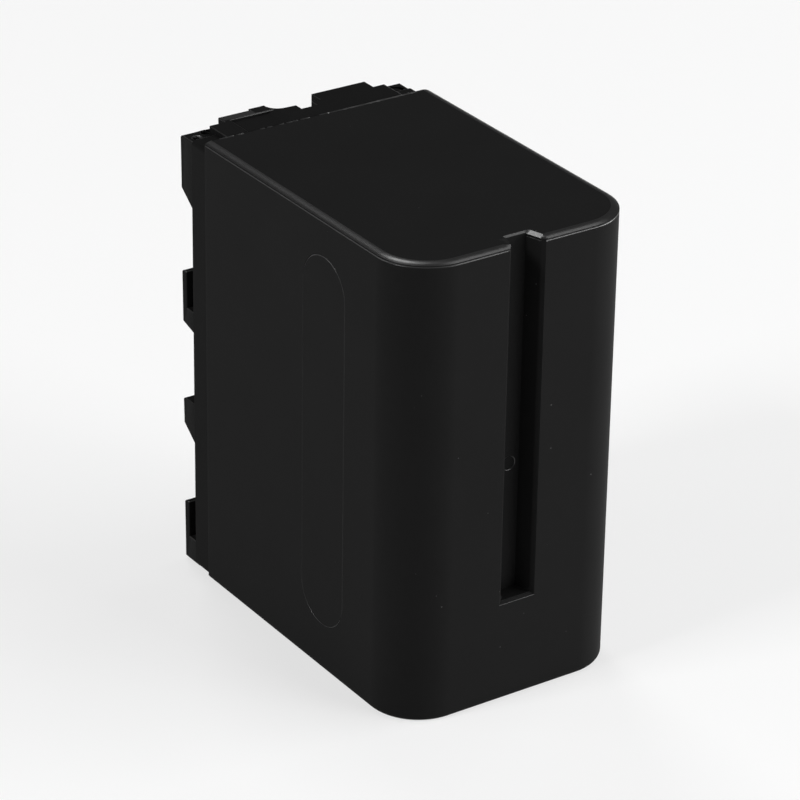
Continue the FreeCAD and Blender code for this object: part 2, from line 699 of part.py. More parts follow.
# Cells: sealed cans, turned profiles, three side by side with the cap up and three with it down
def make_cell(name, column, layer, cap_up):
    body = new_body(name)
    profile = new_sketch(body, f"{name}_profile", "XZ_Plane")
    can = "dims.cell_diameter / 2"
    shoulder = "dims.cell_length - dims.cap_height"
    bead = f"({shoulder} - dims.bead_drop)"
    draw(profile, [
        ("0", "0"),
        (can, "0"),
        (can, f"{bead} - dims.bead_height / 2"),
        (f"{can} - dims.bead_depth", bead),
        (can, f"{bead} + dims.bead_height / 2"),
        (can, f"{shoulder} - dims.cell_edge"),
        (f"{can} - dims.cell_edge", shoulder),
        ("dims.cap_diameter / 2", shoulder),
        ("dims.cap_diameter / 2", "dims.cell_length"),
        ("0", "dims.cell_length"),
    ])
    turned = body.newObject("PartDesign::Revolution", f"{name}_turned")
    turned.Profile = profile
    turned.ReferenceAxis = (profile, ["V_Axis"])
    turned.Angle = 360
    if not cap_up:
        body.Placement = FreeCAD.Placement(FreeCAD.Vector(), FreeCAD.Rotation(FreeCAD.Vector(1, 0, 0), 180))
    body.setExpression("Placement.Base.x", f"{column} * layout.cell_x")
    body.setExpression("Placement.Base.y", f"layout.first_layer + {layer} * layout.layer_pitch")
    body.setExpression("Placement.Base.z", "layout.cells_foot" if cap_up else "layout.cells_head")
    doc.recompute()
    return body


def make_cap_card(name, side, level):
    """Paper card over one column's shoulders, with a hole for each cap."""
    body = new_body(name)
    outline = new_sketch(body, f"{name}_outline", "XY_Plane", level)
    half = "(dims.cell_diameter / 2 - dims.card_margin)"
    draw_stadium(outline, f"{side} * layout.cell_x", half,
                 f"(layout.first_layer - {half})", f"(layout.last_layer + {half})")
    for layer in range(LAYERS):
        centre = (f"{side} * layout.cell_x", f"layout.first_layer + {layer} * layout.layer_pitch")
        draw_circle(outline, centre, "dims.card_bore")
    pad(body, outline, f"{name}_sheet", "dims.card_thickness")
    return body


# Nickel strips that join the cells, with tails folded onto the circuit board
def make_end_strip(name, side):
    body = new_body(name)
    flat = new_sketch(body, f"{name}_outline", "XY_Plane", "layout.cells_head")
    sign = f"{side} * "
    near = f"{sign}(layout.cell_x - dims.strip_width / 2)"
    far = f"{sign}(layout.cell_x + dims.strip_width / 2)"
    tail_near = f"{sign}(layout.cell_x - dims.tail_inset - dims.tail_width)"
    tail_far = f"{sign}(layout.cell_x - dims.tail_inset)"
    low = "layout.first_layer - dims.strip_end"
    high = "layout.last_layer + dims.strip_end"
    draw(flat, [
        (near, low),
        (far, low),
        (far, high),
        (tail_far, "layout.board_under"),
        (tail_near, "layout.board_under"),
        (tail_near, high),
        (near, high),
    ])
    pad(body, flat, f"{name}_sheet", "dims.strip_thickness")
    tail = new_sketch(body, f"{name}_tail_outline", "XZ_Plane", "-layout.board_under")
    left, right = (tail_near, tail_far) if side > 0 else (tail_far, tail_near)
    draw_box(tail, left, right, "layout.board_head - dims.tail_lap",
             "layout.cells_head + dims.strip_thickness")
    pad(body, tail, f"{name}_tail", "dims.strip_thickness")
    return body


def make_series_strip():
    body = new_body("series_strip")
    level = "layout.cells_foot - dims.strip_thickness"
    flat = new_sketch(body, "series_outline", "XY_Plane", level)
    half = "(layout.cell_x + dims.strip_width / 2)"
    low = "layout.first_layer - dims.strip_end"
    high = "layout.last_layer + dims.strip_end"
    draw(flat, [
        (f"-{half}", low),
        (half, low),
        (half, high),
        ("dims.tail_width / 2", high),
        ("dims.tail_width / 2", "layout.board_under"),
        ("-dims.tail_width / 2", "layout.board_under"),
        ("-dims.tail_width / 2", high),
        (f"-{half}", high),
    ])
    for gap in range(LAYERS - 1):
        middle = f"(layout.first_layer + {gap + 0.5} * layout.layer_pitch)"
        draw_box(flat, "-dims.strip_window_width / 2", "dims.strip_window_width / 2",
                 f"{middle} - dims.strip_window_length / 2", f"{middle} + dims.strip_window_length / 2")
    pad(body, flat, "series_sheet", "dims.strip_thickness")
    tail = new_sketch(body, "series_tail_outline", "XZ_Plane", "-layout.board_under")
    draw_box(tail, "-dims.tail_width / 2", "dims.tail_width / 2", level, "dims.board_foot + dims.tail_lap")
    pad(body, tail, "series_tail", "dims.strip_thickness")
    return body


# Foam pads at the two ends, and strips between the cells and the cover
def make_foot_pad():
    body = new_body("foot_pad")
    outline = new_sketch(body, "foot_pad_outline", "XY_Plane", "dims.end_wall")
    radius = "(dims.corner_radius - dims.side_wall)"
    draw(outline, [
        ("-layout.pad_half", "layout.pad_head_y"),
        ("-layout.pad_half", "layout.pad_foot_y", radius),
        ("layout.pad_half", "layout.pad_foot_y", radius),
        ("layout.pad_half", "layout.pad_head_y"),
    ])
    pad(body, outline, "foot_pad_sheet", "dims.foot_pad_thickness")
    return body


def make_head_pad():
    body = new_body("head_pad")
    outline = new_sketch(body, "head_pad_outline", "XY_Plane", "layout.cells_head + dims.strip_thickness")
    radius = "(dims.corner_radius - dims.side_wall)"
    notch_half = "(dims.groove_width / 2 + dims.groove_wall + dims.pad_margin)"
    notch_back = "layout.groove_floor + dims.groove_wall + dims.pad_margin"
    draw(outline, [
        ("-layout.pad_half", "layout.pad_head_y"),
        ("-layout.pad_half", "layout.pad_foot_y", radius),
        (f"-{notch_half}", "layout.pad_foot_y"),
        (f"-{notch_half}", notch_back),
        (notch_half, notch_back),
        (notch_half, "layout.pad_foot_y"),
        ("layout.pad_half", "layout.pad_foot_y", radius),
        ("layout.pad_half", "layout.pad_head_y"),
    ])
    pad(body, outline, "head_pad_sheet", "dims.head_pad_thickness")
    return body


def make_crown_foam(name, side):
    body = new_body(name)
    outline = new_sketch(body, f"{name}_outline", "XZ_Plane", "-layout.crown")
    middle = f"{side} * layout.cell_x"
    draw_box(outline, f"{middle} - dims.foam_width / 2", f"{middle} + dims.foam_width / 2",
             "layout.cells_foot + dims.foam_end", "layout.blocks_foot - dims.foam_end / 2")
    pad(body, outline, f"{name}_strip", "dims.crown_gap", reverse=True)
    return body


# Circuit board in the valley between the two columns, with its parts on the cell side
def make_circuit_board():
    body = new_body("circuit_board")
    outline = new_sketch(body, "board_outline", "XZ_Plane", "-layout.board_top")
    draw_box(outline, "-layout.board_half", "layout.board_half", "dims.board_foot", "layout.board_head")
    pad(body, outline, "board_sheet", "dims.board_thickness")
    return body


LEGS_A_SIDE = 4


def make_chip(name, height):
    """Eight-legged moulded chip that hangs under the board."""
    body = new_body(name)
    outline = new_sketch(body, f"{name}_outline", "XZ_Plane", "-layout.board_under + dims.leg_thickness / 2")
    draw_box(outline, "-dims.chip_width / 2", "dims.chip_width / 2",
             f"{height} - dims.chip_length / 2", f"{height} + dims.chip_length / 2")
    pad(body, outline, f"{name}_block", "dims.chip_height")
    legs = new_sketch(body, f"{name}_legs_outline", "XZ_Plane", "-layout.board_under")
    for leg in range(LEGS_A_SIDE):
        middle = f"{height} + {leg - (LEGS_A_SIDE - 1) / 2} * dims.leg_pitch"
        draw_box(legs, "-dims.chip_width / 2 - dims.leg_length", "dims.chip_width / 2 + dims.leg_length",
                 f"{middle} - dims.leg_width / 2", f"{middle} + dims.leg_width / 2")
    pad(body, legs, f"{name}_legs", "dims.leg_thickness")
    lowest = layout.board_under - sheet.leg_thickness / 2 - sheet.chip_height
    dress(body, "PartDesign::Chamfer", f"{name}_bevel", lambda edge: lies_on(edge, "Y", lowest),
          "Size", "dims.chip_bevel")
    return body


def make_flat_part(name, width, length, thickness, height):
    """Small block part soldered flat under the board."""
    body = new_body(name)
    outline = new_sketch(body, f"{name}_outline", "XZ_Plane", "-layout.board_under")
    draw_box(outline, f"-{width} / 2", f"{width} / 2", f"{height} - {length} / 2", f"{height} + {length} / 2")
    pad(body, outline, f"{name}_block", thickness)
    return body


# Contacts: folded spring leaves in the chambers, and one flat leaf for the data line
def make_power_contact(name, side, centre):
    body = new_body(name)
    fold = new_sketch(body, f"{name}_fold_outline", "YZ_Plane", f"{side} * {centre} - dims.contact_width / 2")
    leaf = "dims.contact_thickness"
    draw(fold, [
        ("layout.leaf", "layout.contact_foot"),
        (f"layout.upper_leaf + {leaf}", "layout.contact_foot"),
        (f"layout.upper_leaf + {leaf}", "layout.contact_head"),
        ("layout.upper_leaf", "layout.contact_head"),
        ("layout.upper_leaf", f"layout.contact_foot + {leaf}"),
        ("layout.leaf_top", f"layout.contact_foot + {leaf}"),
        ("layout.leaf_top", "layout.contact_head"),
        ("layout.leaf", "layout.contact_head"),
    ])
    pad(body, fold, f"{name}_fold", "dims.contact_width")
    tail = new_sketch(body, f"{name}_tail_outline", "XY_Plane", "layout.contact_foot")
    sign = f"{side} * "
    bend = f"({centre} - dims.contact_width / 2)"
    draw(tail, [
        (f"{sign}{centre}", "layout.leaf"),
        (f"{sign}{bend}", "layout.leaf"),
        (f"{sign}({bend} - dims.contact_tail_run)", "layout.board_top"),
        (f"{sign}dims.contact_landing", "layout.board_top"),
        (f"{sign}dims.contact_landing", f"layout.board_top + {leaf}"),
        (f"{sign}({bend} - dims.contact_tail_run)", f"layout.board_top + {leaf}"),
        (f"{sign}{bend}", "layout.leaf_top"),
        (f"{sign}{centre}", "layout.leaf_top"),
    ])
    pad(body, tail, f"{name}_tail", "dims.contact_tail_length")
    return body


def make_data_contact():
    body = new_body("data_contact")
    strip = new_sketch(body, "data_contact_outline", "YZ_Plane",
                       "dims.data_centre - dims.data_contact_width / 2")
    leaf = "dims.contact_thickness"
    bend = "(layout.board_head - dims.contact_tail_length / 2)"
    head = "(layout.cover_head - dims.data_contact_setback)"
    draw(strip, [
        ("layout.data_slot", head),
        (f"layout.data_slot + {leaf}", head),
        (f"layout.data_slot + {leaf}", f"{bend} - {leaf}"),
        (f"layout.board_top + {leaf}", f"{bend} - {leaf}"),
        (f"layout.board_top + {leaf}", f"{bend} - dims.contact_tail_length"),
        ("layout.board_top", f"{bend} - dims.contact_tail_length"),
        ("layout.board_top", bend),
        ("layout.data_slot", bend),
    ])
    pad(body, strip, "data_contact_leaf", "dims.data_contact_width")
    return body


pieces = [make_case(), make_mount_cover()]
cell_number = 0
for column, cap_up in ((1, True), (-1, False)):
    for layer in range(LAYERS):
        cell_number += 1
        pieces.append(make_cell(f"cell_{cell_number}", column, layer, cap_up))
pieces.append(make_cap_card("head_cap_card", 1, "layout.cells_head - dims.cap_height"))
pieces.append(make_cap_card("foot_cap_card", -1,
                            "layout.cells_foot + dims.cap_height - dims.card_thickness"))
pieces += [make_end_strip("positive_strip", 1), make_end_strip("negative_strip", -1), make_series_strip()]
pieces += [make_foot_pad(), make_head_pad()]
pieces += [make_crown_foam("right_crown_foam", 1), make_crown_foam("left_crown_foam", -1)]
pieces.append(make_circuit_board())
for chip in ("protection_chip", "charge_switch", "discharge_switch"):
    pieces.append(make_chip(chip, f"dims.{chip}_height"))
pieces.append(make_flat_part("sense_resistor", "dims.resistor_width", "dims.resistor_length",
                             "dims.resistor_thickness", "dims.resistor_height"))
pieces.append(make_flat_part("temperature_sensor", "dims.sensor_width", "dims.sensor_length",
                             "dims.sensor_thickness", "dims.sensor_height"))
pieces.append(make_power_contact("positive_contact", 1, "dims.right_contact_centre"))
pieces.append(make_power_contact("negative_contact", -1, "dims.left_contact_centre"))
pieces.append(make_data_contact())

# Nothing is written unless every object and every piece came out whole
doc.recompute()
failed = [item.Name for item in doc.Objects if "Invalid" in item.State or "Error" in item.State]
if failed:
    raise RuntimeError(f"failed objects: {failed}")
for piece in pieces:
    if piece.Shape.isNull() or not piece.Shape.isValid() or len(piece.Shape.Solids) != 1:
        raise RuntimeError(f"{piece.Label} is not one whole solid")

os.makedirs("parts", exist_ok=True)
for piece in pieces:
    piece.Shape.exportStep(f"parts/{piece.Label}.step")
    box = piece.Shape.optimalBoundingBox()
    print(f"{piece.Label}: {box.XLength:.2f} x {box.YLength:.2f} x {box.ZLength:.2f} mm, "
          f"{piece.Shape.Volume:.1f} mm3")
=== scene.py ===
# %% [markdown]
# A slide-on battery for a camera monitor, dressed for its portrait.
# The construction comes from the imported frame: every piece is already at its real size and place, in metres.
# This lesson gives each surface its finish, softens the moulded edges, and sets up camera, floor and light.

import math
import random

import bmesh
import bpy
from mathutils import Matrix, Vector


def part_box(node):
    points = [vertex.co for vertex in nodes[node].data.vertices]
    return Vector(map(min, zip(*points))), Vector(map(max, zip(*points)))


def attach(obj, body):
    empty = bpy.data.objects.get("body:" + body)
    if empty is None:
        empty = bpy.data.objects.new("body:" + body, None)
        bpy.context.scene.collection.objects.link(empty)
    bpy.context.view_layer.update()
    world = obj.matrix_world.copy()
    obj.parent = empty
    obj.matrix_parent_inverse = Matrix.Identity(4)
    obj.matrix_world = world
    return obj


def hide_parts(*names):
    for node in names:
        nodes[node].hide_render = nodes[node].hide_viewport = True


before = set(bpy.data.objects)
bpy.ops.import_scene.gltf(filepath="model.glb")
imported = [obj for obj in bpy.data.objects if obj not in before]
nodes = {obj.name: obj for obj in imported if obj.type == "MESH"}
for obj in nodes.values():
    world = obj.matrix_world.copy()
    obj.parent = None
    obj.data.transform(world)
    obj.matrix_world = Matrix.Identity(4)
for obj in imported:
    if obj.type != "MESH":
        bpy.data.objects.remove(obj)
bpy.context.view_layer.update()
MM = 0.001

# %% [markdown]
# A few small tools serve every finish.
# Colours are written as sRGB hex values, the way a paint chart gives them, and Blender wants them linear.
# A shader is a graph, and one function that adds a node with its settings and links keeps each graph short.

# %% Colour and node helpers
def linear(hex_colour):
    """An sRGB hex value as linear red, green, blue and alpha."""
    channels = [int(hex_colour[i:i + 2], 16) / 255 for i in (1, 3, 5)]
    return [c / 12.92 if c <= 0.04045 else ((c + 0.055) / 1.055) ** 2.4 for c in channels] + [1.0]


def add(tree, kind, inputs=None, **settings):
    """Add one node, set its properties, then fill or link its inputs."""
    node = tree.nodes.new(kind)
    for name, value in settings.items():
        setattr(node, name, value)
    for name, value in (inputs or {}).items():
        socket = node.inputs[name]
        if isinstance(value, bpy.types.NodeSocket):
            tree.links.new(value, socket)
        else:
            socket.default_value = value
    return node


def per_metre(size_mm):
    """The texture scale whose pattern repeats about once in this many millimetres."""
    return 1 / (size_mm * MM)


def new_material(name, **uniform):
    """A material, its shader and its object coordinates; uniform values go on the shader's sockets."""
    material = bpy.data.materials.new(name)
    material.use_nodes = True
    tree = material.node_tree
    tree.nodes.clear()
    shader = add(tree, "ShaderNodeBsdfPrincipled")
    add(tree, "ShaderNodeOutputMaterial", {"Surface": shader.outputs["BSDF"]})
    place = add(tree, "ShaderNodeTexCoord").outputs["Object"]
    for socket, value in uniform.items():
        shader.inputs[socket.replace("_", " ")].default_value = value
    return material, tree, shader, place


def two_tone(tree, shader, factor, dark, pale):
    """Drive the base colour between two hex colours."""
    tint = add(tree, "ShaderNodeMix", {"Factor": factor}, data_type="RGBA")
    tint.inputs["A"].default_value = linear(dark)
    tint.inputs["B"].default_value = linear(pale)
    tree.links.new(tint.outputs["Result"], shader.inputs["Base Color"])
    return tint


print("helpers ready, white is", linear("#ffffff"))

# %% [markdown]
# The case is black ABS, moulded in a tool whose walls were spark eroded.
# That gives the eye a fine, even grain, so the flat walls hardly mirror anything and only show a soft sheen.
# The real grain is under a tenth of a millimetre, too fine for the picture, so it is drawn at a third.
# A slow drift in tone stands for handling, and a few specks for the dust every black part collects.
# One function makes four finishes of the same plastic: the case's walls, the slightly darker cover,
# the edges that tool and hand have burnished, and a paler copy whose lighter colour is a painted sheen.

# %% Moulded plastic
GRAIN_SIZE = 0.33
DRIFT_SIZE = 14
DUST_SPACING = 2.5
DUST_RADIUS = 0.1
DUST_TONE = "#565656"
GLOSS_SPREAD = 0.06


def moulded_plastic(name, dark, pale, roughness, specular, grain_depth):
    """ABS with a moulded grain, a slow drift between two tones, and dust."""
    material, tree, shader, place = new_material(name, Specular_IOR_Level=specular)
    grain = add(tree, "ShaderNodeTexNoise", {"Vector": place, "Scale": per_metre(GRAIN_SIZE), "Detail": 2.0})
    drift = add(tree, "ShaderNodeTexNoise", {"Vector": place, "Scale": per_metre(DRIFT_SIZE), "Detail": 3.0})
    tint = two_tone(tree, shader, drift.outputs["Fac"], dark, pale)
    spread = add(tree, "ShaderNodeTexVoronoi", {"Vector": place, "Scale": per_metre(DUST_SPACING)})
    chance = add(tree, "ShaderNodeSeparateXYZ", {"Vector": spread.outputs["Color"]}).outputs["X"]
    reach = add(tree, "ShaderNodeMath", {0: chance, 1: DUST_RADIUS / DUST_SPACING}, operation="MULTIPLY")
    speck = add(tree, "ShaderNodeMath", {0: spread.outputs["Distance"], 1: reach.outputs["Value"]},
                operation="LESS_THAN")
    dusty = two_tone(tree, shader, speck.outputs["Value"], dark, DUST_TONE)
    tree.links.new(tint.outputs["Result"], dusty.inputs["A"])
    gloss = add(tree, "ShaderNodeMapRange", {"Value": grain.outputs["Fac"],
                                             "To Min": roughness - GLOSS_SPREAD,
                                             "To Max": roughness + GLOSS_SPREAD})
    bump = add(tree, "ShaderNodeBump", {"Height": grain.outputs["Fac"], "Strength": 0.25,
                                        "Distance": grain_depth * MM})
    tree.links.new(gloss.outputs["Result"], shader.inputs["Roughness"])
    tree.links.new(bump.outputs["Normal"], shader.inputs["Normal"])
    return material


case_plastic = moulded_plastic("spark_eroded_abs", "#1a1a1a", "#1d1d1d", 0.5, 0.014, 0.02)
cover_plastic = moulded_plastic("moulded_abs", "#161616", "#191919", 0.52, 0.014, 0.02)
edge_plastic = moulded_plastic("burnished_abs_edge", "#181818", "#1c1c1c", 0.3, 0.5, 0.004)
# A paler copy of the plastic: its lighter colour is a painted sheen, not a different material.
painted_sheen_plastic = moulded_plastic("painted_sheen_abs", "#282828", "#2d2d2d", 0.6, 0.05, 0.02)
print("plastics", case_plastic.name, cover_plastic.name, edge_plastic.name, painted_sheen_plastic.name)

# %% [markdown]
# Inside, each kind of piece has its own finish, though the closed case hides most of them.
# A cell is a steel can in a shrunk PVC film. The film covers the round wall, and the ends are bare steel.
# Which is which can be read from the direction a face looks, so one mask drives both colour and metal.

# %% Cell sleeve
FILM_DARK, FILM_PALE = "#2a6f86", "#337f97"
BARE_STEEL = "#b5b3ae"
WRINKLE_SIZE = 1.2
WRINKLE_DEPTH = 0.05
FILM_GLOSS = (0.22, 0.38)
FLAT_END = 0.8
cell_sleeve, tree, shader, place = new_material("shrunk_pvc_on_steel")
facing = add(tree, "ShaderNodeNewGeometry").outputs["Normal"]
upward = add(tree, "ShaderNodeSeparateXYZ", {"Vector": facing}).outputs["Z"]
steepness = add(tree, "ShaderNodeMath", {0: upward}, operation="ABSOLUTE").outputs["Value"]
bare = add(tree, "ShaderNodeMath", {0: steepness, 1: FLAT_END}, operation="GREATER_THAN").outputs["Value"]
wrinkle = add(tree, "ShaderNodeTexNoise", {"Vector": place, "Scale": per_metre(WRINKLE_SIZE), "Detail": 2.0})
film = two_tone(tree, shader, wrinkle.outputs["Fac"], FILM_DARK, FILM_PALE)
coat = two_tone(tree, shader, bare, FILM_DARK, BARE_STEEL)
tree.links.new(film.outputs["Result"], coat.inputs["A"])
tree.links.new(bare, shader.inputs["Metallic"])
gloss = add(tree, "ShaderNodeMapRange", {"Value": wrinkle.outputs["Fac"], "To Min": FILM_GLOSS[0],
                                         "To Max": FILM_GLOSS[1]})
tree.links.new(gloss.outputs["Result"], shader.inputs["Roughness"])
bump = add(tree, "ShaderNodeBump", {"Height": wrinkle.outputs["Fac"], "Strength": 0.15,
                                    "Distance": WRINKLE_DEPTH * MM})
tree.links.new(bump.outputs["Normal"], shader.inputs["Normal"])
print("cells", cell_sleeve.name)

# %% [markdown]
# Pressed paper shows short fibres, foam shows its small closed cells,
# and laminate shows the glass weave under its lacquer.
# Each is one texture at its real size, used for tone and for a little relief.

# %% Paper, foam and laminate
def textured(name, texture, size_mm, output, dark, pale, roughness, depth_mm):
    """A finish whose tone and relief both follow one texture."""
    material, tree, shader, place = new_material(name, Roughness=roughness)
    pattern = add(tree, texture, {"Vector": place, "Scale": per_metre(size_mm)}).outputs[output]
    two_tone(tree, shader, pattern, dark, pale)
    bump = add(tree, "ShaderNodeBump", {"Height": pattern, "Strength": 0.5, "Distance": depth_mm * MM})
    tree.links.new(bump.outputs["Normal"], shader.inputs["Normal"])
    return material


insulating_paper = textured("pressed_barley_paper", "ShaderNodeTexNoise", 0.6, "Fac",
                            "#7d8474", "#939a88", 0.85, 0.02)
foam = textured("closed_cell_foam", "ShaderNodeTexVoronoi", 0.4, "Distance",
                "#101010", "#2b2b2b", 0.95, 0.1)
board_laminate = textured("lacquered_glass_laminate", "ShaderNodeTexChecker", 0.5, "Fac",
                          "#14492c", "#17502f", 0.35, 0.01)
chip_resin = textured("moulded_epoxy", "ShaderNodeTexNoise", 0.15, "Fac",
                      "#191a1b", "#202122", 0.6, 0.01)
print("textures", insulating_paper.name, foam.name, board_laminate.name, chip_resin.name)

# %% [markdown]
# The strips are rolled nickel and the contacts a copper alloy with a flash of gold.
# Rolling leaves fine lines along the strip, which is a noise stretched along one axis.

# %% Rolled metals
ROLL_LINE = 0.1
ROLL_STRETCH = (1.0, 1.0, 0.04)


def rolled_metal(name, dark, pale, roughness):
    """Metal with fine lines along its length."""
    material, tree, shader, place = new_material(name, Metallic=1.0)
    along = add(tree, "ShaderNodeMapping", {"Vector": place, "Scale": ROLL_STRETCH}).outputs["Vector"]
    lines = add(tree, "ShaderNodeTexNoise", {"Vector": along, "Scale": per_metre(ROLL_LINE), "Detail": 2.0})
    two_tone(tree, shader, lines.outputs["Fac"], dark, pale)
    gloss = add(tree, "ShaderNodeMapRange", {"Value": lines.outputs["Fac"],
                                             "To Min": roughness - GLOSS_SPREAD,
                                             "To Max": roughness + GLOSS_SPREAD})
    tree.links.new(gloss.outputs["Result"], shader.inputs["Roughness"])
    return material


nickel = rolled_metal("rolled_nickel", "#a8a39a", "#bdb8ae", 0.32)
contact_alloy = rolled_metal("gold_flashed_bronze", "#c79a4b", "#d8ad5e", 0.26)
print("metals", nickel.name, contact_alloy.name)

# %% [markdown]
# Pieces of one kind share the start or the end of their names, so the inner finishes are handed out by name.
# The two shells get theirs later, when their copies are made.

# %% Hand out the finishes
inner_finishes = {
    "cell_": cell_sleeve, "_card": insulating_paper, "_strip": nickel, "_pad": foam, "_foam": foam,
    "circuit_board": board_laminate, "_chip": chip_resin, "_switch": chip_resin, "_resistor": chip_resin,
    "_sensor": chip_resin, "_contact": contact_alloy,
}
dressed = 0
for name, node in nodes.items():
    for mark, finish in inner_finishes.items():
        if name.startswith(mark) or name.endswith(mark):
            node.data.materials.clear()
            node.data.materials.append(finish)
            dressed += 1
print("inner pieces dressed", dressed)

# %% [markdown]
# A moulded edge is never sharp: the tool's own corner is round, and handling burnishes it.
# Each shell is copied from its CAD mesh, its loose triangles are merged and its flat faces joined,
# and then chosen edges are bevelled, so that each one carries a thin line of light.
# Shading is smooth but breaks at sharp angles. It also breaks where the gloss changes,
# because a thin shiny flank would otherwise take on the direction of the wall beside it.
# Each shell has three finishes in one order: matt walls, burnished edges and a paler colour that is a painted
# sheen. Faces and edges are picked by where they lie, to a hundredth of a millimetre or two, and by which way
# they look: a normal whose z is 1 looks straight up, and one whose z is 0 sideways.

# %% Copy and soften
MATT, BURNISHED, PAINTED_SHEEN = range(3)
NEAR, CLOSE, EXACT = 0.02, 0.01, 0.005
MERGE_REACH = 0.0005
FLAT_DEGREES = 0.3
RIDGE_DEGREES = 25
SHARP_DEGREES = 33


def merged_copy(node_name):
    """A CAD node's mesh in a bmesh, with doubles merged and flat faces joined."""
    shape = bmesh.new()
    shape.from_mesh(nodes[node_name].data)
    bmesh.ops.remove_doubles(shape, verts=shape.verts, dist=MERGE_REACH * MM)
    bmesh.ops.dissolve_limit(shape, angle_limit=math.radians(FLAT_DEGREES), verts=shape.verts,
                             edges=shape.edges)
    for face in shape.faces:
        face.material_index = MATT
        face.smooth = True
    return shape


def middle_mm(edge):
    """The middle of an edge, in millimetres."""
    return (edge.verts[0].co + edge.verts[1].co) / (2 * MM)


def centre_mm(face):
    """The middle of a face, in millimetres."""
    return face.calc_center_median() / MM


def is_ridge(edge, degrees=RIDGE_DEGREES):
    """A sharp edge that stands outwards."""
    return len(edge.link_faces) == 2 and edge.calc_face_angle_signed() > math.radians(degrees)


def soften(shape, edges, width_mm, segments, finish=BURNISHED):
    """Bevel some edges, give the new faces one of the piece's finishes, and count them."""
    made = bmesh.ops.bevel(shape, geom=edges, offset=width_mm * MM, offset_type="OFFSET", affect="EDGES",
                           segments=segments, profile=0.5, material=-1, clamp_overlap=False)
    for face in made["faces"]:
        face.material_index = finish
        face.smooth = True
    return len(made["faces"])


def cut(shape, faces, spot, normal):
    """Cut some faces along a plane; the place is in millimetres."""
    edges = dict.fromkeys(e for f in faces for e in f.edges)
    verts = dict.fromkeys(v for f in faces for v in f.verts)
    bmesh.ops.bisect_plane(shape, geom=[*faces, *edges, *verts], dist=1e-7, plane_co=Vector(spot) * MM,
                           plane_no=normal)


def finish_piece(shape, name, node_name, wall_plastic):
    """Turn the bmesh into a piece that stands for the CAD node."""
    mesh = bpy.data.meshes.new(name)
    shape.edges.index_update()
    gloss_changes = [e.index for e in shape.edges if len({f.material_index for f in e.link_faces}) == 2]
    shape.to_mesh(mesh)
    shape.free()
    for material in (wall_plastic, edge_plastic, painted_sheen_plastic):
        mesh.materials.append(material)
    mesh.set_sharp_from_angle(angle=math.radians(SHARP_DEGREES))
    for index in gloss_changes:
        mesh.edges[index].use_edge_sharp = True
    piece = bpy.data.objects.new(name, mesh)
    bpy.context.scene.collection.objects.link(piece)
    level = piece.modifiers.new("even_shading", "WEIGHTED_NORMAL")
    level.keep_sharp = True
    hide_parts(node_name)
    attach(piece, "root")
    print(name, "faces", len(mesh.polygons))


shape = merged_copy("case")
case_low, case_high = (Vector(end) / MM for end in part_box("case"))
side = case_high.x
print("case copied, faces", len(shape.faces))

# %% [markdown]
# The grip panels are no more than an outline on the real case: a tool insert sat there, with a line round it.
# So the panel's floor is brought up nearly to the wall, which leaves a hair's step, and the step is rounded.
# The floor is then inset, raised level with the wall and rounded too, so that the line has two flanks.
# Whichever flank looks up to the lamp shines: the inner one at the panel's top, the outer one at its foot.
# The upright flanks get a paler colour, a painted sheen that makes the line read a little lighter than the
# wall.

# %% Grip panels
PANEL_DEEP = 0.2
PANEL_FROM_CORNER = 9
PANEL_FROM_END = 3
LINE_DEPTH = 0.07
LINE_FLANK = 0.055
RAISED = 0.95
LOOKS_UP = 0.12


def on_panel(spot):
    """A place well inside the side walls, where only the panels are."""
    return (case_low.y + PANEL_FROM_CORNER < spot.y < case_high.y - PANEL_FROM_END
            and PANEL_FROM_END < spot.z < case_high.z - PANEL_FROM_END)


def below_side(spot):
    """How far a place lies under the surface of its side wall."""
    return side - abs(spot.x)


panel_floor = [v for v in shape.verts if abs(below_side(v.co / MM) - PANEL_DEEP) < PANEL_DEEP / 2
               and on_panel(v.co / MM)]
for vert in panel_floor:
    vert.co.x = math.copysign((side - LINE_DEPTH) * MM, vert.co.x)
shape.normal_update()
outline = [e for e in shape.edges if is_ridge(e) and abs(below_side(middle_mm(e))) < NEAR
           and on_panel(middle_mm(e))]
print("panel floor", len(panel_floor), "outline", len(outline), soften(shape, outline, LINE_FLANK, 3))
panels = [f for f in shape.faces if f.normal.x * centre_mm(f).x > 0
          and all(abs(below_side(v.co / MM) - LINE_DEPTH) < EXACT for v in f.verts)]
flanks = bmesh.ops.inset_region(shape, faces=panels, thickness=LINE_DEPTH * MM,
                                depth=LINE_DEPTH * MM * RAISED, use_even_offset=True)["faces"]
for face in flanks:
    face.material_index = BURNISHED
    face.smooth = True
inner_outline = list(dict.fromkeys(e for f in panels for e in f.edges))
print("panels", len(panels), "flanks", len(flanks), soften(shape, inner_outline, LINE_FLANK, 3))
# Flanks that look up keep their gloss, upright flanks get the paler colour as a painted sheen, and those that
# look down go matt.
for face in (f for f in shape.faces if f.material_index == BURNISHED):
    if face.normal.z < LOOKS_UP:
        face.material_index = PAINTED_SHEEN if face.normal.z > -LOOKS_UP else MATT

# %% [markdown]
# The head's edge is a long low curve: it starts well in on the top and meets the wall a third of a millimetre
# down, so its light fades gently into the top. The construction's chamfer is flattened to that slope,
# then its upper edge is rounded wide and its lower edge only a little.
# First the long faces are cut close to the rim and beside the groove, because smooth shading drifts
# across a long face, and a cut keeps the drift short.

# %% Head edge
CHAMFER = 0.7
HEAD_DROP = 0.36
UPPER_ROUND, LOWER_ROUND = 0.5, 0.08
RIM_CUT = 0.6
GROOVE_HALF, GROOVE_DEEP = 3.2, 4
GROOVE_CUT = 3.25
CORNER_REACH = 8.2
SKIN = 0.05
INNER_WALL_X, INNER_WALL_Y = 0.5, 0.6


def leans(face):
    """One of the chamfer's faces, before it is flattened."""
    return 0.5 < face.normal.z < 0.85 and centre_mm(face).z > case_high.z - CHAMFER


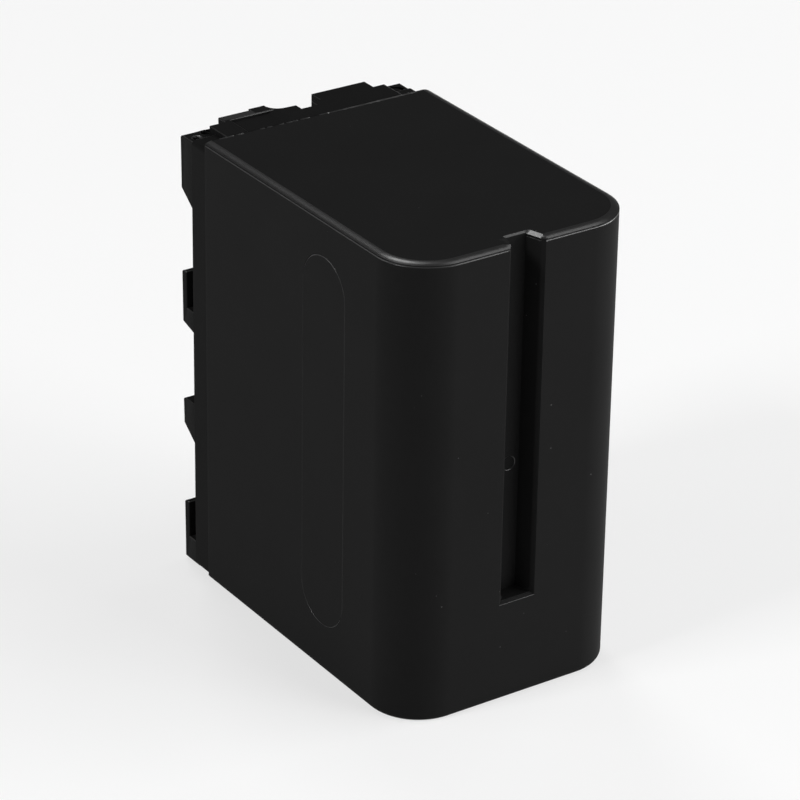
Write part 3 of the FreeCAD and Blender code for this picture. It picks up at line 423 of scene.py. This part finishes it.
def is_wall(face):
    """The outside of the case's walls, without the groove."""
    spot = centre_mm(face)
    upright = abs(face.normal.z) < 0.05
    outward = face.normal.x * spot.x > 0 if abs(face.normal.x) > 0.7 else face.normal.y < -0.2
    in_groove = abs(spot.x) < GROOVE_HALF and case_low.y + NEAR < spot.y < case_low.y + GROOVE_DEEP
    hull = abs(spot.x) > side - CORNER_REACH or spot.y < case_low.y + SKIN
    behind = abs(spot.x) < side - INNER_WALL_X and spot.y > case_low.y + INNER_WALL_Y
    inside = behind and abs(face.normal.x) > 0.98
    return upright and outward and hull and not in_groove and not inside


def crown_faces():
    """The flat top and the slopes round it."""
    return [f for f in shape.faces if f.normal.z > 0.5 and centre_mm(f).z > case_high.z - HEAD_DROP]


cut(shape, shape.faces[:], (0, case_high.y - RIM_CUT, 0), (0, 1, 0))
cut(shape, shape.faces[:], (GROOVE_CUT, 0, 0), (1, 0, 0))
cut(shape, shape.faces[:], (-GROOVE_CUT, 0, 0), (1, 0, 0))
bevel_verts = {v for f in shape.faces if leans(f) for v in f.verts}
chamfer = max(case_high.z - v.co.z / MM for v in bevel_verts)
for vert in bevel_verts:
    drop = (case_high.z - vert.co.z / MM) * HEAD_DROP / chamfer
    vert.co.z = (case_high.z - drop) * MM
shape.normal_update()
slopes = {f for f in crown_faces() if f.normal.z < 0.995}
for face in slopes:
    face.material_index = BURNISHED
upper_edges = [e for e in shape.edges if len([f for f in e.link_faces if f in slopes]) == 1
               and any(f.normal.z > 0.999 for f in e.link_faces) and abs(middle_mm(e).x) > GROOVE_HALF]
print("upper edges", len(upper_edges), soften(shape, upper_edges, UPPER_ROUND, 5))
lower_edges = [e for e in shape.edges if is_ridge(e, degrees=30) and any(is_wall(f) for f in e.link_faces)
               and all(abs(v.co.z / MM - case_high.z + HEAD_DROP) < CLOSE for v in e.verts)]
print("lower edges", len(lower_edges), soften(shape, lower_edges, LOWER_ROUND, 3, MATT))

# %% [markdown]
# Where the groove opens at the head, its back and its right side end in small flat facets that shine.
# A bevel would run round the whole mouth, so they are made by hand: the crown is cut into narrow strips
# beside the mouth, and then only the mouth's own vertices are lowered, which tilts just those strips.
# The groove's sides are drafted, so the cut along the right side follows its slant.

# %% Groove mouth
BACK_RUN, BACK_DROP = 0.35, 0.18
SIDE_RUN, SIDE_DROP = 0.75, 0.29
MITRE = 0.15


def is_mouth(edge):
    """An edge where the groove opens in the crown."""
    spot = middle_mm(edge)
    in_groove = abs(spot.x) < GROOVE_HALF and spot.y < case_low.y + GROOVE_DEEP
    return in_groove and spot.z > case_high.z - NEAR and is_ridge(edge, degrees=60)


def beyond_side(spot):
    """How far a place lies to the right of the groove's right side."""
    return (spot - corner).dot(across)


mouth_edges = [e for e in shape.edges if is_mouth(e)]
side_spots = [v.co / MM for e in mouth_edges for v in e.verts if min(w.co.x for w in e.verts) > 0]
corner = max(side_spots, key=lambda spot: spot.y)
lip = min(side_spots, key=lambda spot: spot.y)
across = (lip - corner).cross(Vector((0, 0, -1))).normalized()
cut(shape, crown_faces(), corner + across * SIDE_RUN, across)
cut(shape, crown_faces(), corner + Vector((0, BACK_RUN, 0)), (0, 1, 0))
cut(shape, crown_faces(), corner - Vector((0, MITRE, 0)), (0, 1, 0))
cut(shape, crown_faces(), corner - Vector((MITRE, 0, 0)), (1, 0, 0))
cut(shape, crown_faces(), (-corner.x - MITRE, 0, 0), (1, 0, 0))
lowered = set()
for vert in shape.verts:
    spot = vert.co / MM
    on_side = abs(beyond_side(spot)) < NEAR and spot.y < corner.y + NEAR
    on_back = abs(spot.y - corner.y) < NEAR and abs(spot.x) < corner.x + NEAR
    if spot.z > case_high.z - HEAD_DROP and (on_side or on_back):
        vert.co.z = (case_high.z - (SIDE_DROP if on_side else BACK_DROP)) * MM
        lowered.add(vert)
shape.normal_update()
facets = {f for v in lowered for f in v.link_faces if f.normal.z > 0.3}
for face in facets:
    face.material_index = BURNISHED
print("mouth corner", [round(c, 2) for c in corner], "lowered", len(lowered), "facets", len(facets))

# %% [markdown]
# Under the head's edge runs a hairline, where the tool's end plate met its walls.
# Three cuts round the wall make it: the middle one is pushed in, and its lower flank catches the light.
# The groove's right side carries the same line, made in the same way.

# %% Hairline
HAIRLINE_BELOW = 0.085
INNER_BELOW = 0.2
HAIRLINE_DEEP = 0.115
HAIRLINE_ROWS = (0, 0.03, 0.195)
HAIRLINE_REACH = 0.25
INNER_END = 0.7
GROOVE_SIDE_TALL = 0.5
BESIDE = 0.1
hairline_top = case_high.z - HEAD_DROP - HAIRLINE_BELOW
inner_top = case_high.z - SIDE_DROP - INNER_BELOW


def groove_side():
    """The upper end of the groove's right side, which looks at the camera."""
    return [f for f in shape.faces if f.normal.dot(across) < -0.95
            and max(v.co.z for v in f.verts) / MM > inner_top - GROOVE_SIDE_TALL
            and abs(beyond_side(centre_mm(f))) < BESIDE]


def in_row(vert, top):
    """Whether a vertex lies on the middle cut of a hairline."""
    return abs(vert.co.z / MM - top + HAIRLINE_ROWS[1]) < EXACT


def burnish_line(verts, top):
    """Give the narrow faces above and below the pushed-in vertices their shine."""
    shape.normal_update()
    for face in {f for v in verts for f in v.link_faces}:
        if min(v.co.z for v in face.verts) / MM > top - HAIRLINE_REACH:
            face.material_index = BURNISHED


for height in (hairline_top - row for row in HAIRLINE_ROWS):
    walls = [f for f in shape.faces if is_wall(f) and any(v.co.z / MM > height for v in f.verts)]
    cut(shape, walls, (0, 0, height), (0, 0, 1))
shape.normal_update()
deep = [v for v in shape.verts if in_row(v, hairline_top) and abs(v.co.x) / MM > GROOVE_HALF]
inward = {v: -sum((f.normal for f in v.link_faces if is_wall(f)), Vector()).normalized() for v in deep}
for vert, direction in inward.items():
    vert.co += direction * HAIRLINE_DEEP * MM
burnish_line(deep, hairline_top)
cut(shape, groove_side(), (0, case_low.y + INNER_END, 0), (0, 1, 0))
for height in (inner_top - row for row in HAIRLINE_ROWS):
    cut(shape, groove_side(), (0, 0, height), (0, 0, 1))
inner = [v for v in shape.verts if in_row(v, inner_top) and v.co.y / MM > case_low.y + INNER_END - BESIDE
         and abs(beyond_side(v.co / MM)) < NEAR]
for vert in inner:
    vert.co += across * HAIRLINE_DEEP * MM
burnish_line(inner, inner_top)
print("hairline", len(deep), "in the groove", len(inner))

# %% [markdown]
# Case and cover are welded, and the melt that was squeezed out leaves a broken line along the seam's top.
# It is a row of dents of uneven depth close to the rim: each dent's far flank faces the front and shines.
# Towards the right end the weld is more even, so chance counts for less there.

# %% Weld line
WELD_FRONT, WELD_BACK = case_high.y - 0.5, case_high.y - 0.25
WELD_PITCH = 0.4
WELD_DEPTH = 0.12
WELD_CUT_END, WELD_END = 2, 1.5
EVEN_FROM, EVEN_OVER, EVEN_MOST = -3, 12, 0.7
UNEVENNESS = 3
LOOKS_FRONT = 0.12


def weld_strip():
    """The part of the flat top between the cut near the rim and the rim."""
    return [f for f in shape.faces if f.normal.z > 0.99 and centre_mm(f).z > case_high.z - CLOSE
            and centre_mm(f).y > case_high.y - RIM_CUT]


cut(shape, weld_strip(), (0, WELD_FRONT, 0), (0, 1, 0))
cut(shape, weld_strip(), (0, WELD_BACK, 0), (0, 1, 0))
weld_half = int((side - WELD_CUT_END) / WELD_PITCH)
for step in range(-weld_half, weld_half + 1):
    cut(shape, weld_strip(), (step * WELD_PITCH, 0, 0), (1, 0, 0))
chance = random.Random(5)
dents = [v for v in shape.verts if abs(v.co.y / MM - WELD_BACK) < EXACT
         and v.co.z / MM > case_high.z - CLOSE and abs(v.co.x) / MM < side - WELD_END]
for vert in sorted(dents, key=lambda v: v.co.x):
    evenness = min(max((vert.co.x / MM - EVEN_FROM) / EVEN_OVER, 0.0), EVEN_MOST)
    vert.co.z -= WELD_DEPTH * (evenness + (1 - evenness) * chance.random() ** UNEVENNESS) * MM
shape.normal_update()
for face in {f for v in dents for f in v.link_faces}:
    if face.normal.y < -LOOKS_FRONT:
        face.material_index = BURNISHED
print("weld dents", len(dents))

# %% [markdown]
# The groove's lips are moulded crisp. Only the sill at its foot, the ring that an ejector pin left
# on its floor, and the rim at the seam are softened. The rim stays matt, because the cover shades it.

# %% Sill, pin mark and rim
SILL_LOW, SILL_HIGH = 14, 17
SILL_DEEP, SILL_LONG = 0.5, 2
SILL_ROUND = 0.07
PIN_HEIGHT, PIN_REACH = 36, 1.2
PIN_ROUND = 0.12
RIM_ROUND = 0.12


def is_sill(edge):
    """A long level edge at the groove's foot."""
    spot = middle_mm(edge)
    in_groove = spot.y < case_low.y + SILL_DEEP and abs(spot.x) < GROOVE_HALF
    long = abs(edge.verts[0].co.x - edge.verts[1].co.x) > SILL_LONG * MM
    return in_groove and SILL_LOW < spot.z < SILL_HIGH and long


def is_pin_mark(edge):
    """An edge of the ring on the groove's floor."""
    spot = middle_mm(edge)
    return abs(spot.y - corner.y) < NEAR and math.hypot(spot.x, spot.z - PIN_HEIGHT) < PIN_REACH


def is_rim(edge):
    """An edge of the case's open end, where the cover sits."""
    spot = middle_mm(edge)
    return spot.y > case_high.y - NEAR and (abs(spot.x) > side - NEAR or spot.z < NEAR)


sill_edges = [e for e in shape.edges if is_ridge(e) and is_sill(e)]
print("sill", len(sill_edges), soften(shape, sill_edges, SILL_ROUND, 2))
pin_edges = [e for e in shape.edges if is_ridge(e) and is_pin_mark(e)]
print("pin mark", len(pin_edges), soften(shape, pin_edges, PIN_ROUND, 2))
rim_edges = [e for e in shape.edges if is_ridge(e) and is_rim(e)]
print("rim", len(rim_edges), soften(shape, rim_edges, RIM_ROUND, 2, MATT))
finish_piece(shape, "case_shell", "case", case_plastic)

# %% [markdown]
# The cover's tabs and terminal blocks are small, so their edges get a narrow bevel.
# Edges that stand upright stay matt, because on the real cover only those that look up or down shine.
# The small round holes in its upper corners get a wider rim, and first, while their edges are still whole.
# The left block gets a paler strip along its outer side, a painted sheen.

# %% Cover shell
HOLE_SPOTS = ((17.3, 27.2), (15.25, 28.3))
HOLE_REACH, HOLE_BELOW = 0.7, 1.25
HOLE_ROUND = 0.25
TAB_ROUND = 0.12
TAB_SHORTEST = 0.6
TAB_FROM = 0.7
LOOKS_SIDEWAYS = 0.1
STRIP_FRONT = 28.05
STRIP_LEFT, STRIP_RIGHT = -12.4, -6.9
shape = merged_copy("mount_cover")
cover_low, cover_high = (Vector(end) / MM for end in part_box("mount_cover"))


def is_hole_rim(edge):
    """An edge round the mouth of a corner hole."""
    spot = middle_mm(edge)
    near = any(math.hypot(abs(spot.x) - x, spot.y - y) < HOLE_REACH for x, y in HOLE_SPOTS)
    return near and spot.z > cover_high.z - HOLE_BELOW and is_ridge(edge, degrees=60)


def block_top():
    """The flat tops of the terminal blocks."""
    return [f for f in shape.faces if f.normal.z > 0.99 and centre_mm(f).z > cover_high.z - NEAR]


hole_rims = [e for e in shape.edges if is_hole_rim(e)]
print("hole rims", len(hole_rims), soften(shape, hole_rims, HOLE_ROUND, 2))
tab_edges = [e for e in shape.edges if is_ridge(e) and e.calc_length() > TAB_SHORTEST * MM
             and middle_mm(e).y > cover_low.y + TAB_FROM]
print("tab edges", len(tab_edges), soften(shape, tab_edges, TAB_ROUND, 2))
for face in shape.faces:
    if face.material_index == BURNISHED and abs(face.normal.z) < LOOKS_SIDEWAYS:
        face.material_index = MATT
# The strip's paler colour is a painted sheen on the block's top.
cut(shape, block_top(), (0, STRIP_FRONT, 0), (0, 1, 0))
cut(shape, block_top(), (STRIP_LEFT, 0, 0), (1, 0, 0))
cut(shape, block_top(), (STRIP_RIGHT, 0, 0), (1, 0, 0))
strip = [f for f in block_top() if centre_mm(f).y > STRIP_FRONT and STRIP_LEFT < centre_mm(f).x < STRIP_RIGHT]
for face in strip:
    face.material_index = PAINTED_SHEEN
print("pale strip", len(strip), "faces", round(sum(f.calc_area() for f in strip) / MM ** 2, 1), "square mm")
finish_piece(shape, "cover_shell", "mount_cover", cover_plastic)

# %% [markdown]
# The camera stands where the photograph was taken from.
# Its lens is long, so upright edges stay nearly parallel.
# Its place is given by the angles round the part, as a photographer would say it, and turned into a matrix.

# %% Camera
camera_azimuth = math.radians(-34.164)
camera_elevation = math.radians(26.861)
camera_roll = math.radians(0.929)
camera_distance = 0.55069
camera_target = Vector((0, 0, 0.034216))
back = Vector((math.sin(camera_azimuth) * math.cos(camera_elevation),
               -math.cos(camera_azimuth) * math.cos(camera_elevation), math.sin(camera_elevation)))
level_right = Vector((math.cos(camera_azimuth), math.sin(camera_azimuth), 0))
level_up = back.cross(level_right)
right = level_right * math.cos(camera_roll) + level_up * math.sin(camera_roll)
up = back.cross(right)
camera_data = bpy.data.cameras.new("portrait_camera")
camera_data.lens = 172.19
camera_data.sensor_width = 36
camera = bpy.data.objects.new("portrait_camera", camera_data)
turn = Matrix((right, up, back)).transposed().to_4x4()
camera.matrix_world = Matrix.Translation(camera_target + back * camera_distance) @ turn
bpy.context.scene.collection.objects.link(camera)
bpy.context.scene.camera = camera
print("camera at", [round(c, 3) for c in camera.location])

# %% [markdown]
# The floor is a wide pale disc, so the picture's background is the floor itself.
# To the camera, and in mirrors and glass, it is lifted towards white, as a lit studio sweep looks.
# The lift is a mix with plain white that other rays don't see, so it puts no diffuse light on the part.
# The share that is left keeps the part's shadow.

# %% Floor
FLOOR_RADIUS = 6.0
FLOOR_LIFT = 0.6
FLOOR_TONE = "#eeeeee"
floor_mesh = bpy.data.meshes.new("floor")
shape = bmesh.new()
bmesh.ops.create_circle(shape, cap_ends=True, segments=64, radius=FLOOR_RADIUS)
shape.to_mesh(floor_mesh)
shape.free()
floor = bpy.data.objects.new("floor", floor_mesh)
bpy.context.scene.collection.objects.link(floor)
floor_paint, tree, shader, _ = new_material("pale_floor", Roughness=0.9, Specular_IOR_Level=0.1)
shader.inputs["Base Color"].default_value = linear(FLOOR_TONE)
rays = add(tree, "ShaderNodeLightPath").outputs
seen = add(tree, "ShaderNodeMath", {0: rays["Is Camera Ray"], 1: rays["Is Glossy Ray"]}, operation="MAXIMUM")
seen = add(tree, "ShaderNodeMath", {0: seen.outputs["Value"], 1: rays["Is Transmission Ray"]},
           operation="MAXIMUM")
share = add(tree, "ShaderNodeMath", {0: seen.outputs["Value"], 1: FLOOR_LIFT}, operation="MULTIPLY")
white = add(tree, "ShaderNodeEmission", {"Color": linear("#ffffff"), "Strength": 1.0})
lifted = add(tree, "ShaderNodeMixShader", {0: share.outputs["Value"], 1: shader.outputs["BSDF"],
                                           2: white.outputs["Emission"]})
tree.links.new(lifted.outputs["Shader"], tree.nodes["Material Output"].inputs["Surface"])
floor_mesh.materials.append(floor_paint)
print("floor radius", FLOOR_RADIUS, "m")

# %% [markdown]
# The room is a dim grey near the horizon and darker above, as a studio is with its ceiling lights off.

# %% Room
HORIZON_GLOW, CEILING_GLOW = 0.12, 0.05
CEILING_FROM = 0.5
world = bpy.data.worlds.new("studio")
bpy.context.scene.world = world
world.use_nodes = True
tree = world.node_tree
ray = add(tree, "ShaderNodeTexCoord").outputs["Generated"]
height = add(tree, "ShaderNodeSeparateXYZ", {"Vector": ray}).outputs["Z"]
fade = add(tree, "ShaderNodeMapRange", {"Value": height, "From Min": 0.0, "From Max": CEILING_FROM,
                                        "To Min": HORIZON_GLOW, "To Max": CEILING_GLOW},
           interpolation_type="SMOOTHSTEP")
tree.nodes["Background"].inputs["Color"].default_value = linear("#ffffff")
tree.links.new(fade.outputs["Result"], tree.nodes["Background"].inputs["Strength"])
print("room from", HORIZON_GLOW, "to", CEILING_GLOW)

# %% [markdown]
# On a black part, the eye reads what the edges mirror, so most softboxes stand where some edge reflects them
# to the camera. The key and right_back stand high behind, for the head's left and front edges
# and the facets at the groove's mouth.
# left_high draws the near corner's edge and lights the side wall.
# front_right and front_low show in the steep part of the front edge and in the hairline.
# left_back and right_fill graze the two walls from far round the sides,
# so that the near corner between them stays darker, which shows how round it is.

# %% Softboxes
PART_MIDDLE = Vector((0, 0, 0.035))


def softbox(name, direction, distance, width, height, power):
    """An area lamp in that direction from the part's middle, facing it."""
    lamp = bpy.data.lights.new(name, "AREA")
    lamp.shape = "RECTANGLE"
    lamp.size = width
    lamp.size_y = height
    lamp.energy = power
    thing = bpy.data.objects.new(name, lamp)
    toward = Vector(direction).normalized()
    thing.location = PART_MIDDLE + toward * distance
    thing.rotation_euler = (-toward).to_track_quat("-Z", "Y").to_euler()
    bpy.context.scene.collection.objects.link(thing)
    return thing


softboxes = [
    softbox("key", (0.14, 0.53, 0.84), 1.2, 0.29, 0.29, 3),
    softbox("right_back", (0.51, 0.12, 0.855), 1.2, 0.32, 0.32, 1.1),
    softbox("left_high", (-0.76, 0.03, 0.65), 1.2, 0.3, 0.3, 7),
    softbox("left_back", (-0.82, 0.5, 0.25), 1.2, 0.5, 0.5, 2),
    softbox("front_right", (0.4, -0.7, 0.59), 1.2, 0.46, 0.46, 4.2),
    softbox("front_low", (0.6, -0.77, 0.2), 1.0, 0.25, 0.2, 1.5),
    softbox("right_fill", (0.87, -0.44, 0.2), 1.2, 0.8, 0.4, 15),
]
bpy.context.scene.view_settings.view_transform = "Standard"
print("softboxes", [lamp.name for lamp in softboxes])
